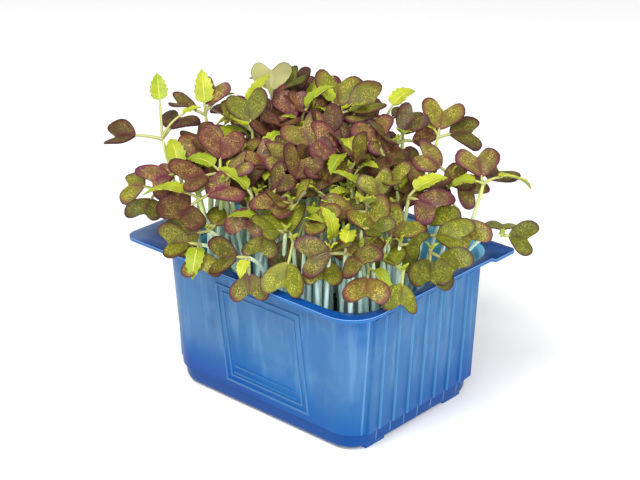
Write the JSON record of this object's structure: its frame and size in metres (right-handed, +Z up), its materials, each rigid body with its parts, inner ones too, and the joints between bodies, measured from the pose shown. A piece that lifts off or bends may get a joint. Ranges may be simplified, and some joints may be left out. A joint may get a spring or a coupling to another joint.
{
  "type": "microgreens tray",
  "caption": "Tapered rectangular plastic tray of soil, thick with young two-lobed seedlings on pale stems; flat rim with a corner pull tab, pleated short sides.",
  "frame": {"origin": "middle of the tray's flat underside", "axes": "+Z up, towards the leaves; +X towards the ribbed short side with the narrow rim; +Y towards the plain long side, so the panelled long side faces -Y"},
  "size_m": [0.1406, 0.1191, 0.115],
  "materials": {
    "tray_plastic": "translucent blue moulded plastic, satin",
    "soil": "damp dark brown crumbly compost",
    "leaf_purple": "purple brown leaf speckled yellow green, satin",
    "leaf_green": "olive green leaf with a purple edge, satin"
  },
  "bodies": {
    "root": {"tray": "tray_plastic", "soil": "soil", "seedling_01": "leaf_purple", "seedling_02": "leaf_purple", "seedling_03": "leaf_green", "seedling_04": "leaf_green", "seedling_05": "leaf_green", "seedling_06": "leaf_purple", "seedling_07": "leaf_purple", "seedling_08": "leaf_purple", "seedling_09": "leaf_green", "seedling_10": "leaf_green", "seedling_11": "leaf_purple", "seedling_12": "leaf_purple", "seedling_13": "leaf_purple", "seedling_14": "leaf_purple", "seedling_15": "leaf_purple", "seedling_16": "leaf_green", "seedling_17": "leaf_purple", "seedling_18": "leaf_purple", "seedling_19": "leaf_green", "seedling_20": "leaf_green", "seedling_21": "leaf_green", "seedling_22": "leaf_green", "seedling_23": "leaf_purple", "seedling_24": "leaf_green", "seedling_25": "leaf_green", "seedling_26": "leaf_purple", "seedling_27": "leaf_purple", "seedling_28": "leaf_purple", "seedling_29": "leaf_purple", "seedling_30": "leaf_purple", "seedling_31": "leaf_purple", "seedling_32": "leaf_purple", "seedling_33": "leaf_purple", "seedling_34": "leaf_green", "seedling_35": "leaf_purple", "seedling_36": "leaf_purple", "seedling_37": "leaf_green", "seedling_38": "leaf_purple", "seedling_39": "leaf_green", "seedling_40": "leaf_purple", "seedling_41": "leaf_purple", "seedling_42": "leaf_purple", "seedling_43": "leaf_purple", "seedling_44": "leaf_green", "seedling_45": "leaf_purple", "seedling_46": "leaf_green", "seedling_47": "leaf_purple", "seedling_48": "leaf_purple", "seedling_49": "leaf_purple", "seedling_50": "leaf_purple", "seedling_51": "leaf_purple", "seedling_52": "leaf_purple", "seedling_53": "leaf_purple", "seedling_54": "leaf_purple", "seedling_55": "leaf_purple", "seedling_56": "leaf_purple", "seedling_57": "leaf_green", "seedling_58": "leaf_purple"}
  },
  "joints": []
}
